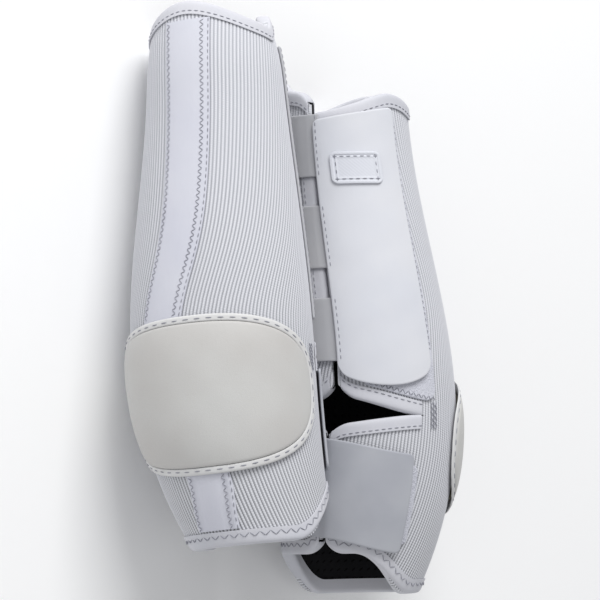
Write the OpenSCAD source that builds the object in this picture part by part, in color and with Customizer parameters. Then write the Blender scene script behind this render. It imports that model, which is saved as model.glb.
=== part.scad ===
// A pair of wrap-round tendon support boots, lying side by side.
// Each boot is drawn standing on its bottom rim, then turned and laid down.
// Every layer follows one surface: point(phi, z, off) is the place at angle phi
// round the leg and height z, a distance off outside the neoprene's inner face.
// phi is 0 at the closure seam and grows to the right as seen from outside.

/* [Boot] */
// Height of the top rim at the spine
boot_h = 302; // [280:1:320]
// Half width of the boot at the top
top_r = 34.5; // [32:0.5:37]
// Half width of the boot over the fetlock
fetlock_r = 48; // [45:0.5:51]
// Half width of the boot at the bottom rim
bottom_r = 36; // [34:0.5:38]
// How far the fetlock swells to the back
swell = 10; // [6:0.5:12]
// How far the top of the front boot curls in
front_curl = 8; // [0:0.5:9]
// How far the top of the rear boot curls in
rear_curl = 1; // [0:0.5:9]
// How far the back of the rear boot's top edge is pressed down
rear_sink = 14; // [0:1:16]

/* [Layers] */
// Thickness of the neoprene panels
neoprene_t = 2.8; // [2.4:0.1:2.8]
// Thickness of the lining
lining_t = 1.5; // [1.2:0.1:1.6]
// Thickness of one layer of binding tape
tape_t = 0.8; // [0.5:0.1:0.9]
// Width of the folded binding
binding_w = 7; // [5:0.5:8]

/* [Straps] */
// Width of each closure strap
strap_w = 36; // [30:1:38]
// Height of the fetlock strap
fetlock_strap_w = 56; // [50:1:58]
// Width of the spine tape
spine_w = 25; // [20:1:28]

/* [Placing] */
// Sideways distance between the two boots
spacing = 87; // [86:0.5:120]
// How far the front boot lies up along the rear boot
stagger = 33; // [25:1:40]

/* [Hidden] */
// Shape of the boot. Heights are in mm and directions in degrees round the leg
swell_dir = 120;       // direction of the swell
flat = 0.06;           // how much less deep than wide the boot is
widest_z = 110;        // height of the widest place
curl_z = 258;          // height where the top starts to curl in
seam_wander = 9;       // how far the closure seam moves round at the notch
seam_gap = 2.2;        // each closure edge stops this many degrees short of the seam
notch_z = 104;         // height of the notch at the seam
notch_end = 76;        // where the notch stops, either side of the seam
facet = 6.2;           // degrees in one step round the boot

// Distances outside the neoprene's inner face
air = 0.1;                              // gap between two flat layers
sag_room = 0.5;                         // gap that the facets' sag needs between two curved layers
skin = neoprene_t + sag_room;           // where pieces sewn to the neoprene start
lining_out = -sag_room - 0.3;           // outer face of the lining
lining_in = lining_out - lining_t;      // inner face of the lining
fold_in = lining_in - 0.8;              // outer side of a binding's fold inside the boot
trim_t = 1;                             // thickness of the spine tape and loop patches
band_t = 1.6;                           // thickness of the anchor band
strap_in = skin + trim_t;               // inner face of the closure straps
strap_t = 1.2;                          // thickness of the closure straps
panel_off = 5.9;                        // inner face of the closure panel
panel_t = 1.6;                          // thickness of the closure panel
strap_off = 6.0;                        // inner face of the fetlock strap

// Fetlock pad, centred at pad_phi and pad_z
pad_phi = 187;
pad_z = 82;
pad_span = 89;         // half its width, in degrees
pad_half = 43.5;       // half its height
pad_power = 2.5;       // how square its outline is
pad_in = skin + 1.5;   // inner face of the pad's foam and welt

// Lower edge of each closure strap, and the band that they start from
strap_feet = [131.5, 184.5, 237];
band_phi = [-62, -46.6];
band_z = [122, 277];

// Where the straps end, just short of the seam
strap_end = 1.8;

// Closure panel
panel_phi = [3.5, 74.5];
panel_head = 269;
panel_low = 129;       // height of the panel's foot at its sides
panel_dip = 12;        // how much lower the foot reaches in the middle

// Fetlock strap
fetlock_z = 55;        // middle of the strap at its free end
fetlock_phi = [3.6, 60];
anchor_phi = -64;      // where its anchor is sewn on

// How the pair lies: height of each boot's bottom middle, tip, lean and turn
rear_lie = [53.9, -3.35, 0.8, -159];
front_lie = [76.3, -7.65, -0.8, 24];
middle = [0.12, -149.14, -0.12];  // moves the pair's middle to the origin

// ---- the boot's surface ----

function mix(a, b, t) = a + (b - a) * t;
function ease(t) = t <= 0 ? 0 : t >= 1 ? 1 : t * t * (3 - 2 * t);
function wrapped(phi) = phi > 180 ? phi - 360 : phi;

// Half width of the boot at height z, with the top curled in
function half_width(z) =
    let (curl_at = max(0, (z - curl_z) / (boot_h - curl_z)))
    (z > widest_z
        ? mix(fetlock_r, top_r, ease((z - widest_z) / 175))
        : fetlock_r - (fetlock_r - bottom_r) * pow((widest_z - z) / widest_z, 2))
    - $curl * curl_at * curl_at;

// How far the middle of the boot moves towards the swell at height z
function axis_shift(z) =
    z > 95
        ? swell * (1 - ease((z - 95) / 195))
        : swell - 1.25 * swell * pow((95 - z) / 95, 2);

// The closure seam wanders round the boot between the top and the notch
function seam_drift(phi, z) =
    seam_wander * ease((281 - z) / 150) * ease((z - 85) / 30)
    * ease((80 - abs(wrapped(phi))) / 60);

function point(phi, z, off) =
    let (
        turn = phi + seam_drift(phi, z),
        r = half_width(z) * (1 - flat * pow(sin(turn - swell_dir), 2)) + off,
        c = axis_shift(z)
    )
    [c * cos(swell_dir) + r * cos(turn), c * sin(swell_dir) + r * sin(turn), z];

// Degrees round the boot that a length covers at height z
function degrees(mm, z) = mm / half_width(z) * 180 / PI;

// ---- outlines ----

// How much a rounded corner of radius r takes off an edge next to the seam
function corner(phi, r) =
    let (d = abs(wrapped(phi)) * 0.75)
    d < r ? r - sqrt(r * r - (r - d) * (r - d)) : 0;

function is_left(phi) = wrapped(phi) < 0;

function top_z(phi) =
    boot_h - 16 * ease(abs(phi - 180) / 100) - 13 * ease((abs(phi - 180) - 80) / 100)
    + (is_left(phi) ? 12 * ease((85 - abs(wrapped(phi))) / 25) : 0)
    - $sink * ease((110 - abs(phi - 180)) / 60)
    - corner(phi, is_left(phi) ? 12 : 5);

function bottom_z(phi) = 24 * ease((abs(phi - 165) - 75) / 65) + corner(phi, 14);

function notch_middle(phi) = notch_z - 0.06 * abs(wrapped(phi));
function notch_half(phi) =
    10 * pow(1 - min(1, abs(wrapped(phi)) / notch_end), 1.3) + corner(phi, 11);
function notch_top(phi) = notch_middle(phi) + notch_half(phi);
function notch_foot(phi) = notch_middle(phi) - notch_half(phi);

// Where the two panels meet under the spine tape
function spine_phi(z) =
    185 - 18 * exp(-pow((z - 115) / 45, 2)) - 10 * ease((40 - z) / 40);

// Middle line of the fetlock strap, which climbs towards its root
function strap_middle(phi) =
    fetlock_z + 0.09 * (60 - wrapped(phi)) - 5 * ease(wrapped(phi) / 60);

// Rows come closer together towards the top, where the boot curls in
function rise(v) = 1 - pow(1 - v, 1.35);

// ---- makers ----

// A closed sheet over a grid: spot(u, v) gives [phi, z], and low and high its two faces
module sheet(nu, nv, spot, low, high) {
    n = (nu + 1) * (nv + 1);
    spots = [for (i = [0:nu]) for (j = [0:nv]) spot(i / nu, j / nv)];
    uv = [for (i = [0:nu]) for (j = [0:nv]) [i / nu, j / nv]];
    inner = [for (k = [0:n - 1]) point(spots[k][0], spots[k][1], low(uv[k][0], uv[k][1]))];
    outer = [for (k = [0:n - 1]) point(spots[k][0], spots[k][1], high(uv[k][0], uv[k][1]))];
    function at(i, j) = i * (nv + 1) + j;
    function cell(a, b, c, d) = [[a, b, c], [a, c, d]];
    skins = [
        for (i = [0:nu - 1]) for (j = [0:nv - 1])
            each concat(
                cell(n + at(i, j), n + at(i, j + 1), n + at(i + 1, j + 1), n + at(i + 1, j)),
                cell(at(i, j), at(i + 1, j), at(i + 1, j + 1), at(i, j + 1)))
    ];
    rims = [
        for (i = [0:nu - 1])
            each concat(
                cell(n + at(i, 0), n + at(i + 1, 0), at(i + 1, 0), at(i, 0)),
                cell(n + at(i + 1, nv), n + at(i, nv), at(i, nv), at(i + 1, nv)))
    ];
    ends = [
        for (j = [0:nv - 1])
            each concat(
                cell(n + at(0, j + 1), n + at(0, j), at(0, j), at(0, j + 1)),
                cell(n + at(nu, j), n + at(nu, j + 1), at(nu, j + 1), at(nu, j)))
    ];
    polyhedron(points = concat(inner, outer), faces = concat(skins, rims, ends));
}

// A sheet of even thickness
module even_sheet(nu, nv, spot, low, high) {
    sheet(nu, nv, spot, function(u, v) low, function(u, v) high);
}

// A rectangle of webbing with rounded corners, between two angles and two heights
module patch(phi0, phi1, foot, head, low, high, nu, nv, round) {
    function trim(phi) =
        let (d = min(phi - phi0, phi1 - phi) * 0.75)
        d < round ? round - sqrt(max(0, round * round - (round - d) * (round - d))) : 0;
    even_sheet(nu, nv, function(u, v)
        let (phi = mix(phi0, phi1, (1 - cos(180 * u)) / 2))
        [phi, mix(foot(phi) + trim(phi), head(phi) - trim(phi), rise(v))], low, high);
}

// Tape folded over an edge: the path runs along the edge as [phi, z] and
// side(p) is the step in [phi, z] for each mm into the material
module folded_tape(path, side, flip) {
    e = 0.4;  // the tape stands this far off the edge that it covers
    shape = [
        [skin, binding_w], [skin + tape_t, binding_w],
        [skin + tape_t, -tape_t - e], [fold_in - tape_t, -tape_t - e],
        [fold_in - tape_t, binding_w], [fold_in, binding_w],
        [fold_in, -e], [skin, -e],
    ];
    m = len(path) - 1;
    points = [
        for (p = path) for (s = shape)
            point(p[0] + s[1] * side(p)[0], p[1] + s[1] * side(p)[1], s[0])
    ];
    function cell(a, b, c, d) = flip ? [[d, c, a], [c, b, a]] : [[a, b, c], [a, c, d]];
    walls = [
        for (i = [0:m - 1]) for (k = [0:7])
            let (k2 = (k + 1) % 8)
            each cell(8 * i + k, 8 * i + k2, 8 * (i + 1) + k2, 8 * (i + 1) + k)
    ];
    cap = [[0, 1, 2, 7], [7, 2, 3, 6], [6, 3, 4, 5]];
    caps = [
        for (c = cap)
            each concat(
                cell(c[3], c[2], c[1], c[0]),
                cell(8 * m + c[0], 8 * m + c[1], 8 * m + c[2], 8 * m + c[3]))
    ];
    polyhedron(points = points, faces = concat(walls, caps));
}

function down_edge(p) = [0, -1];
function up_edge(p) = [0, 1];
function right_edge(p) = [degrees(1, p[1]), 0];
function left_edge(p) = [-degrees(1, p[1]), 0];

// ---- pieces of one boot ----

// The wedge-shaped opening between the upper and the lower lobe
module notch() {
    even_sheet(26, 1, function(u, v)
        let (phi = mix(-notch_end, notch_end, u))
        [phi, mix(notch_foot(phi) - 0.01, notch_top(phi) + 0.01, v)], -8, 9);
}

// One layer from a closure edge to the spine, or all round
module layer(from, to, low, high, nv, step) {
    nu = ceil(abs(to(150) - from(150)) / step);
    difference() {
        even_sheet(nu, nv, function(u, v)
            let (
                foot = bottom_z(mix(from(12), to(12), u)),
                head = top_z(mix(from(boot_h - 10), to(boot_h - 10), u)),
                z = mix(foot, head, rise(v))
            )
            [mix(from(z), to(z), u), z], low, high);
        notch();
    }
}

module right_panel() {
    color([0.87, 0.87, 0.89])
        layer(function(z) seam_gap, function(z) spine_phi(z) - 0.2, 0, neoprene_t, 11, facet);
}

module left_panel() {
    color([0.85, 0.85, 0.88])
        layer(function(z) spine_phi(z) + 0.2, function(z) 360 - seam_gap, 0, neoprene_t, 11, facet);
}

module lining() {
    color([0.16, 0.16, 0.17])
        layer(function(z) seam_gap, function(z) 360 - seam_gap, lining_in, lining_out, 9, 1.9 * facet);
}

module spine_tape() {
    color([0.84, 0.84, 0.89])
        even_sheet(3, 15, function(u, v)
            let (
                z = mix(binding_w + 1, boot_h - $sink - binding_w - 3.5, v),
                half = degrees(spine_w / 2, z)
            )
            [spine_phi(z) + mix(-half, half, u), z], skin, skin + trim_t);
}

// The pad's outline is a superellipse; x runs from -1 to 1 along the pad
function pad_height(x, inset) =
    (pad_half - inset) * pow(1 - pow(abs(x), pad_power), 1 / pad_power);

module pad_layer(inset, low, high, nu, nv) {
    across = pad_span - inset * 1.2;
    sheet(nu, nv, function(u, v)
        let (x = 0.997 * sin(90 * (2 * u - 1)))
        [pad_phi + across * x, pad_z + pad_height(x, inset) * (2 * v - 1)], low, high);
}

function crown(u, v) =
    let (x = sin(90 * (2 * u - 1)))
    (1 - pow(abs(x), 4)) * (1 - pow(abs(2 * v - 1), 4));

module pad_foam() {
    color([0.8, 0.78, 0.7])
        pad_layer(7, function(u, v) pad_in, function(u, v) pad_in + 0.5 + 2 * crown(u, v), 16, 4);
}

module strike_pad() {
    color([0.86, 0.85, 0.83])
        pad_layer(4.5, function(u, v) pad_in + 0.9 + 2.1 * crown(u, v),
            function(u, v) pad_in + 1.5 + 2.4 * crown(u, v), 18, 5);
}

module pad_welt() {
    color([0.9, 0.9, 0.91])
        difference() {
            pad_layer(0, function(u, v) pad_in + 0.3, function(u, v) pad_in + 1.1, 20, 1);
            pad_layer(4, function(u, v) pad_in - 2, function(u, v) pad_in + 5, 20, 1);
        }
}

module rim_binding(edge, side, flip) {
    color([0.88, 0.88, 0.9])
        folded_tape([for (i = [0:45]) let (phi = mix(seam_gap + 1, 359 - seam_gap, i / 45))
            [phi, edge(phi)]], side, flip);
}

module top_binding() {
    rim_binding(function(phi) top_z(phi), function(p) down_edge(p), true);
}

module bottom_binding() {
    rim_binding(function(phi) bottom_z(phi), function(p) up_edge(p), false);
}

// Tape down one closure edge, between two heights
module seam_binding(foot, head, steps, right) {
    color([0.88, 0.88, 0.9])
        folded_tape([for (i = [0:steps]) [right ? seam_gap : -seam_gap, mix(foot, head, i / steps)]],
            right ? function(p) right_edge(p) : function(p) left_edge(p), right);
}

module right_edge_binding() {
    seam_binding(132, 262, 8, true);
}

module left_edge_binding() {
    seam_binding(132, 265, 8, false);
}

module right_low_binding() {
    seam_binding(51, 74, 5, true);
}

module left_low_binding() {
    seam_binding(51, 74, 5, false);
}

// Tape along both lips of the notch, on one side of the seam
module notch_binding(side) {
    phis = [for (i = [0:11]) side * mix(4, notch_end - 16, i / 11)];
    color([0.88, 0.88, 0.9]) {
        folded_tape([for (p = phis) [p, notch_top(p)]], function(p) up_edge(p), side < 0);
        folded_tape([for (p = phis) [p, notch_foot(p)]], function(p) down_edge(p), side > 0);
    }
}

module right_notch_binding() {
    notch_binding(1);
}

module left_notch_binding() {
    notch_binding(-1);
}

module notch_bartacks() {
    color([0.92, 0.92, 0.93])
        for (side = [-1, 1])
            even_sheet(2, 2, function(u, v)
                [side * (notch_end + 2.5) + mix(-2.2, 2.2, u), mix(92, 107, v)], skin, skin + trim_t);
}

module landing_patch() {
    color([0.82, 0.82, 0.86])
        patch(14, 80, function(phi) notch_top(phi) + binding_w + 1,
            function(phi) top_z(phi) - binding_w - 1.5, skin, skin + trim_t, 9, 7, 8);
}

module strap_patch() {
    color([0.82, 0.82, 0.86])
        patch(12, 66, function(phi) strap_middle(phi) - 23, function(phi) strap_middle(phi) + 22,
            skin, skin + trim_t, 9, 2, 4);
}

module anchor_band() {
    color([0.8, 0.8, 0.82])
        patch(band_phi[0], band_phi[1], function(phi) band_z[0], function(phi) band_z[1],
            skin, skin + band_t, 3, 12, 1);
}

// Each strap runs from the anchor band to the closure panel
module closure_strap(foot) {
    color([0.76, 0.76, 0.78])
        even_sheet(8, 3, function(u, v)
            [mix(band_phi[1] + 0.6, strap_end, u), mix(foot, foot + strap_w, v)],
            strap_in, strap_in + strap_t);
}

module lower_strap() {
    closure_strap(strap_feet[0]);
}

module middle_strap() {
    closure_strap(strap_feet[1]);
}

module upper_strap() {
    closure_strap(strap_feet[2]);
}

// The closure panel's foot is half an ellipse
function panel_foot(phi) =
    panel_low - panel_dip * sqrt(max(0, 1 - pow((phi - 39) / 35.7, 2)));

module closure_panel() {
    color([0.86, 0.87, 0.9])
        patch(panel_phi[0], panel_phi[1], function(phi) panel_foot(phi), function(phi) panel_head + 0.1 * phi,
            panel_off, panel_off + panel_t, 10, 7, 4);
}

module hook_patch() {
    color([0.72, 0.73, 0.75])
        patch(10, 70, function(phi) panel_foot(phi) + 6, function(phi) panel_head - 6 + 0.1 * phi,
            panel_off - 1, panel_off - 0.3, 9, 6, 3);
}

module badge() {
    color([0.9, 0.9, 0.93])
        patch(16, 57, function(phi) 232, function(phi) 250.5,
            panel_off + panel_t + air, panel_off + panel_t + 1.3, 8, 1, 4);
}

module fetlock_strap() {
    color([0.72, 0.73, 0.78])
        patch(fetlock_phi[0], fetlock_phi[1], function(phi) strap_middle(phi) - fetlock_strap_w / 2,
            function(phi) strap_middle(phi) + fetlock_strap_w / 2, strap_off, strap_off + 1.8, 9, 3, 3);
}

module strap_hook() {
    color([0.6, 0.6, 0.63])
        patch(18, 57, function(phi) strap_middle(phi) - 24, function(phi) strap_middle(phi) + 24,
            strap_off - 1.1, strap_off - 0.35, 7, 3, 2);
}

module strap_anchor() {
    color([0.72, 0.73, 0.78])
        even_sheet(9, 3, function(u, v)
            let (phi = mix(anchor_phi, strap_end, u))
            [phi, strap_middle(phi) + mix(-0.5, 0.5, v) * fetlock_strap_w],
            strap_in + air, strap_in + 1.6);
}

// ---- the pair, laid down ----

// Lays one boot down, so that it rests on its widest place and on its top rim
module lay(side, how) {
    translate(middle + [side * spacing / 2, -side * stagger / 2, how[0]])
        rotate([-90, 0, 0])
            rotate([how[1], how[2], 0])
                rotate([0, 0, how[3]])
                    children();
}

module rear() {
    $curl = rear_curl;
    $sink = rear_sink;
    lay(1, rear_lie) children();
}

module front() {
    $curl = front_curl;
    $sink = 0;
    lay(-1, front_lie) children();
}

rear() right_panel();  // rear_right_panel
rear() left_panel();  // rear_left_panel
rear() lining();  // rear_lining
rear() spine_tape();  // rear_spine_tape
rear() strike_pad();  // rear_strike_pad
rear() pad_foam();  // rear_pad_foam
rear() pad_welt();  // rear_pad_welt
rear() top_binding();  // rear_top_binding
rear() bottom_binding();  // rear_bottom_binding
rear() right_edge_binding();  // rear_right_edge_binding
rear() left_edge_binding();  // rear_left_edge_binding
rear() right_low_binding();  // rear_right_low_binding
rear() left_low_binding();  // rear_left_low_binding
rear() right_notch_binding();  // rear_right_notch_binding
rear() left_notch_binding();  // rear_left_notch_binding
rear() notch_bartacks();  // rear_notch_bartacks
rear() landing_patch();  // rear_landing_patch
rear() strap_patch();  // rear_strap_patch
rear() anchor_band();  // rear_anchor_band
rear() upper_strap();  // rear_upper_strap
rear() middle_strap();  // rear_middle_strap
rear() lower_strap();  // rear_lower_strap
rear() closure_panel();  // rear_closure_panel
rear() hook_patch();  // rear_hook_patch
rear() badge();  // rear_badge
rear() fetlock_strap();  // rear_fetlock_strap
rear() strap_hook();  // rear_strap_hook
rear() strap_anchor();  // rear_strap_anchor
front() right_panel();  // front_right_panel
front() left_panel();  // front_left_panel
front() lining();  // front_lining
front() spine_tape();  // front_spine_tape
front() strike_pad();  // front_strike_pad
front() pad_foam();  // front_pad_foam
front() pad_welt();  // front_pad_welt
front() top_binding();  // front_top_binding
front() bottom_binding();  // front_bottom_binding
front() right_edge_binding();  // front_right_edge_binding
front() left_edge_binding();  // front_left_edge_binding
front() right_low_binding();  // front_right_low_binding
front() left_low_binding();  // front_left_low_binding
front() right_notch_binding();  // front_right_notch_binding
front() left_notch_binding();  // front_left_notch_binding
front() notch_bartacks();  // front_notch_bartacks
front() landing_patch();  // front_landing_patch
front() strap_patch();  // front_strap_patch
front() anchor_band();  // front_anchor_band
front() upper_strap();  // front_upper_strap
front() middle_strap();  // front_middle_strap
front() lower_strap();  // front_lower_strap
front() closure_panel();  // front_closure_panel
front() hook_patch();  // front_hook_patch
front() badge();  // front_badge
front() fetlock_strap();  // front_fetlock_strap
front() strap_hook();  // front_strap_hook
front() strap_anchor();  // front_strap_anchor
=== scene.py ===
import bpy
import bmesh
import math
import numpy as np
from mathutils import Euler, Matrix, Vector


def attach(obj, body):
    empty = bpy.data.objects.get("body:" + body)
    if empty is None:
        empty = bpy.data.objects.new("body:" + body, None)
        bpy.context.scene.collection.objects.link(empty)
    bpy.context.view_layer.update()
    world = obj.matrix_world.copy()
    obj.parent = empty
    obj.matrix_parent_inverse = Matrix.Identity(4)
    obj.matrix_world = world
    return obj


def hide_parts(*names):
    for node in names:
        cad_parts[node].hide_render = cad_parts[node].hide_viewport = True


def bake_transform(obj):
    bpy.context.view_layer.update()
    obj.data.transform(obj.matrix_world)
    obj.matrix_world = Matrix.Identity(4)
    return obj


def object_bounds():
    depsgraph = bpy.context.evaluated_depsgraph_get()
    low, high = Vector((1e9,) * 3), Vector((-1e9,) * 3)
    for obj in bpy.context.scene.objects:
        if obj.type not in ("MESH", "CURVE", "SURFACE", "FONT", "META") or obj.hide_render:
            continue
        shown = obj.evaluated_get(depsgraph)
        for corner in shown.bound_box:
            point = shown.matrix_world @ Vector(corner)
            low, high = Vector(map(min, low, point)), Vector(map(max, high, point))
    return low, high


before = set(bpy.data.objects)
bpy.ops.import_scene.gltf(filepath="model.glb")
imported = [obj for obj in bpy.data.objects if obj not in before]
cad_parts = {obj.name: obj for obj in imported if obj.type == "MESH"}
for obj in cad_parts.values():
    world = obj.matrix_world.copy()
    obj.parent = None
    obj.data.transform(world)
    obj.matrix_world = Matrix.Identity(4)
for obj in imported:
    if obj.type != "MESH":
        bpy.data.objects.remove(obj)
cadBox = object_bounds()
print("frame loaded")

# One boot is worked out standing up, in millimetres and degrees, then laid down in metres
bootShape = {
    "height": 302, "topRadius": 34.5, "fetlockRadius": 48, "bottomRadius": 36,
    "swell": 10, "swellDirection": 120, "flatness": 0.06,
    "widestHeight": 110, "curlHeight": 258, "seamWander": 9, "seamGap": 2.2,
    "notchHeight": 104, "notchEnd": 76,
}
# Distances outside the inner face of the neoprene
layers = {
    "neoprene": 3.1, "skin": 3.3, "trim": 4.3, "liningOut": -0.6, "liningIn": -2.3,
    "tape": 0.8, "bindingWidth": 7,
}
# How each boot lies: its side of the pair, the height of its bottom, its tilt and its roll
pair = {
    "rear": {"side": 1, "rise": 53.9, "tip": -3.35, "lean": 0.8, "turn": -159, "curl": 1, "sink": 14},
    "front": {"side": -1, "rise": 76.3, "tip": -7.65, "lean": -0.8, "turn": 24, "curl": 8, "sink": 0},
}
pairLayout = {"spacing": 87, "stagger": 33, "middle": (0.12, -149.14, -0.12)}


def ease(t):
    t = np.clip(t, 0, 1)
    return t * t * (3 - 2 * t)


def wrapped(phi):
    return np.where(phi > 180, phi - 360, phi)


def halfWidth(z, curl):
    s = bootShape
    curlAt = np.maximum(0, (z - s["curlHeight"]) / (s["height"] - s["curlHeight"]))
    above = s["fetlockRadius"] + (s["topRadius"] - s["fetlockRadius"]) * ease((z - s["widestHeight"]) / 175)
    below = s["fetlockRadius"] - (s["fetlockRadius"] - s["bottomRadius"]) * (1 - z / s["widestHeight"]) ** 2
    return np.where(z > s["widestHeight"], above, below) - curl * curlAt ** 2


def axisShift(z):
    swell = bootShape["swell"]
    return np.where(z > 95, swell * (1 - ease((z - 95) / 195)), swell - 1.25 * swell * ((95 - z) / 95) ** 2)


def seamDrift(phi, z):
    across = ease((80 - abs(wrapped(phi))) / 60)
    return bootShape["seamWander"] * ease((281 - z) / 150) * ease((z - 85) / 30) * across


def layDown(boot):
    lie = pair[boot]
    side = lie["side"]
    at = Vector(pairLayout["middle"])
    at += Vector((side * pairLayout["spacing"] / 2, -side * pairLayout["stagger"] / 2, lie["rise"]))
    flat = Matrix.Rotation(math.radians(-90), 4, "X")
    tilt = Euler((math.radians(lie["tip"]), math.radians(lie["lean"]), 0)).to_matrix().to_4x4()
    roll = Matrix.Rotation(math.radians(lie["turn"]), 4, "Z")
    return Matrix.Scale(0.001, 4) @ Matrix.Translation(at) @ flat @ tilt @ roll


placing = {boot: np.array(layDown(boot)) for boot in pair}


def surfacePoint(boot, phi, z, off):
    phi, z, off = np.broadcast_arrays(np.asarray(phi, float), np.asarray(z, float), np.asarray(off, float))
    turn = np.radians(phi + seamDrift(phi, z))
    swellTurn = math.radians(bootShape["swellDirection"])
    flattened = 1 - bootShape["flatness"] * np.sin(turn - swellTurn) ** 2
    radius = halfWidth(z, pair[boot]["curl"]) * flattened + off
    x = axisShift(z) * math.cos(swellTurn) + radius * np.cos(turn)
    y = axisShift(z) * math.sin(swellTurn) + radius * np.sin(turn)
    points = np.stack([x, y, z, np.ones_like(z)], -1)
    return (points @ placing[boot].T)[..., :3]


def degreesFor(boot, length, z):
    return np.degrees(length / halfWidth(z, pair[boot]["curl"]))


# Outlines of the boot
def corner(phi, radius):
    d = abs(wrapped(phi)) * 0.75
    return np.where(d < radius, radius - np.sqrt(np.maximum(0, radius ** 2 - (radius - d) ** 2)), 0)


def topHeight(boot, phi):
    left = wrapped(phi) < 0
    tab = np.where(left, 12 * ease((85 - abs(wrapped(phi))) / 25), 0)
    fall = 16 * ease(abs(phi - 180) / 100) + 13 * ease((abs(phi - 180) - 80) / 100)
    rounded = np.where(left, corner(phi, 12), corner(phi, 5))
    rounded = rounded + pair[boot]["sink"] * ease((110 - abs(phi - 180)) / 60)
    return bootShape["height"] - fall + tab - rounded


def bottomHeight(phi):
    return 24 * ease((abs(phi - 165) - 75) / 65) + corner(phi, 14)


def notchMiddle(phi):
    return bootShape["notchHeight"] - 0.06 * abs(wrapped(phi))


def notchHalf(phi):
    share = np.minimum(1, abs(wrapped(phi)) / bootShape["notchEnd"])
    return np.where(share < 1, 10 * (1 - share) ** 1.3 + corner(phi, 11), 0)


def spinePhi(z):
    return 185 - 18 * np.exp(-((z - 115) / 45) ** 2) - 10 * ease((40 - z) / 40)


def strapMiddle(phi):
    return 55 + 0.09 * (60 - wrapped(phi)) - 5 * ease(wrapped(phi) / 60)


# How each cloth, tape and pad looks

def shade(red, green, blue):
    def linear(c):
        c = c / 255
        return c / 12.92 if c < 0.04045 else ((c + 0.055) / 1.055) ** 2.4
    return (linear(red), linear(green), linear(blue), 1)


def wire(tree, kind, settings=(), inputs=()):
    node = tree.nodes.new(kind)
    for name, value in dict(settings).items():
        setattr(node, name, value)
    for name, value in dict(inputs).items():
        if isinstance(value, bpy.types.NodeSocket):
            tree.links.new(value, node.inputs[name])
        else:
            node.inputs[name].default_value = value
    return node


def sums(tree, operation, *values):
    return wire(tree, "ShaderNodeMath", {"operation": operation}, dict(enumerate(values))).outputs[0]


def newGroup(name, kind, takes, gives):
    tree = bpy.data.node_groups.new(name, kind)
    for socket, socketType, value in takes:
        made = tree.interface.new_socket(name=socket, in_out="INPUT", socket_type=socketType)
        if value is not None:
            made.default_value = value
    for socket, socketType in gives:
        tree.interface.new_socket(name=socket, in_out="OUTPUT", socket_type=socketType)
    return tree, tree.nodes.new("NodeGroupInput"), tree.nodes.new("NodeGroupOutput")


def ribMaskGroup():
    tree, enter, leave = newGroup("ribMask", "ShaderNodeTree", [
        ("Cloth", "NodeSocketVector", None),
        ("Pitch", "NodeSocketFloat", 1.65),
        ("Thread", "NodeSocketFloat", 1.1),
    ], [("Groove", "NodeSocketFloat"), ("Dash", "NodeSocketFloat"), ("Along", "NodeSocketFloat")])
    split = wire(tree, "ShaderNodeSeparateXYZ", (), {0: enter.outputs["Cloth"]})
    turns = sums(tree, "DIVIDE", split.outputs["X"], enter.outputs["Pitch"])
    wave = sums(tree, "ABSOLUTE", sums(tree, "SINE", sums(tree, "MULTIPLY", turns, math.pi)))
    crest = sums(tree, "POWER", wave, 0.8)
    # Threads cross the ribs, half a thread on from one rib to the next
    stagger = sums(tree, "MULTIPLY", sums(tree, "FLOOR", turns), math.pi)
    rows = sums(tree, "DIVIDE", split.outputs["Y"], enter.outputs["Thread"])
    dash = sums(tree, "SINE", sums(tree, "ADD", sums(tree, "MULTIPLY", rows, 2 * math.pi), stagger))
    tree.links.new(sums(tree, "SUBTRACT", 1.0, crest), leave.inputs["Groove"])
    tree.links.new(sums(tree, "MULTIPLY_ADD", dash, 0.5, 0.5), leave.inputs["Dash"])
    tree.links.new(split.outputs["Y"], leave.inputs["Along"])
    return tree


def weaveGroup():
    tree, enter, leave = newGroup("fineWeave", "ShaderNodeTree", [
        ("Cloth", "NodeSocketVector", None),
        ("Pitch", "NodeSocketFloat", 0.8),
        ("Stretch", "NodeSocketFloat", 1.0),
    ], [("Height", "NodeSocketFloat")])
    split = wire(tree, "ShaderNodeSeparateXYZ", (), {0: enter.outputs["Cloth"]})
    scale = sums(tree, "DIVIDE", 2 * math.pi, enter.outputs["Pitch"])
    across = sums(tree, "SINE", sums(tree, "MULTIPLY", split.outputs["X"], scale))
    tall = sums(tree, "DIVIDE", split.outputs["Y"], enter.outputs["Stretch"])
    along = sums(tree, "SINE", sums(tree, "MULTIPLY", tall, scale))
    height = sums(tree, "MULTIPLY_ADD", sums(tree, "MULTIPLY", across, along), 0.5, 0.5)
    tree.links.new(height, leave.inputs["Height"])
    return tree


def handledGroup():
    # Soft unevenness of pressed cloth, and fine fibre on top of it
    tree, enter, leave = newGroup("handled", "ShaderNodeTree", [
        ("Broad", "NodeSocketFloat", 30.0), ("Fine", "NodeSocketFloat", 900.0),
    ], [("Patch", "NodeSocketFloat"), ("Fibre", "NodeSocketFloat")])
    place = wire(tree, "ShaderNodeTexCoord").outputs["Object"]
    patch = wire(tree, "ShaderNodeTexNoise", (), {
        "Vector": place, "Scale": enter.outputs["Broad"], "Detail": 3.0,
    })
    fibre = wire(tree, "ShaderNodeTexNoise", (), {
        "Vector": place, "Scale": enter.outputs["Fine"], "Detail": 2.0,
    })
    tree.links.new(patch.outputs[0], leave.inputs["Patch"])
    tree.links.new(fibre.outputs[0], leave.inputs["Fibre"])
    return tree


ribMask = ribMaskGroup()
fineWeave = weaveGroup()
handled = handledGroup()


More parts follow.
